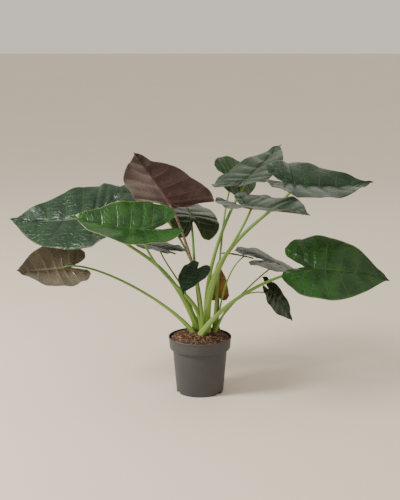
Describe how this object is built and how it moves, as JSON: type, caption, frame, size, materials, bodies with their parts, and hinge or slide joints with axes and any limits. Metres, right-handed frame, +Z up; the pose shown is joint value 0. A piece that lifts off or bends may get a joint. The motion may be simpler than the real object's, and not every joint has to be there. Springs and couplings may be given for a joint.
{
  "type": "potted alocasia",
  "caption": "Leafy arrow-leaved houseplant in a round banded nursery pot: long arching stalks rise from the soil and carry large glossy veined blades.",
  "frame": {"origin": "centre of the pot's flat underside, on the pot's axis", "axes": "+Z up along the pot's axis; -Y towards the viewer's side; the broad spread of the leaves lies along X"},
  "size_m": [1.0334, 0.6152, 0.6722],
  "materials": {
    "pot_plastic": "matte dark grey moulded plastic",
    "soil": "loose brown coir and bark",
    "crown": "fibrous plant tissue",
    "stalk": "smooth green plant tissue",
    "mottled_stalk": "green tissue mottled brown",
    "withered_stalk": "dry brown tissue",
    "blade": "glossy dark green above, bronze beneath",
    "young_blade": "glossy fresh green",
    "withered_blade": "dry ochre and brown tissue"
  },
  "bodies": {
    "root": {"pot": "pot_plastic", "potting_soil": "soil", "crown": "crown", "stalk_01": "stalk", "stalk_02": "stalk", "stalk_03": "stalk", "stalk_04": "mottled_stalk", "stalk_05": "stalk", "stalk_06": "stalk", "stalk_07": "stalk", "stalk_08": "stalk", "stalk_09": "stalk", "stalk_10": "stalk", "stalk_11": "stalk", "stalk_12": "stalk", "stalk_13": "stalk", "stalk_14": "stalk", "stalk_15": "withered_stalk", "stalk_16": "stalk", "stalk_17": "stalk", "blade_01": "blade", "blade_02": "young_blade", "blade_03": "blade", "blade_04": "blade", "blade_05": "blade", "blade_06": "blade", "blade_07": "blade", "blade_08": "blade", "blade_09": "young_blade", "blade_10": "blade", "blade_11": "blade", "blade_12": "blade", "blade_13": "blade", "blade_14": "blade", "blade_15": "withered_blade", "blade_16": "blade", "blade_17": "blade"}
  },
  "joints": []
}
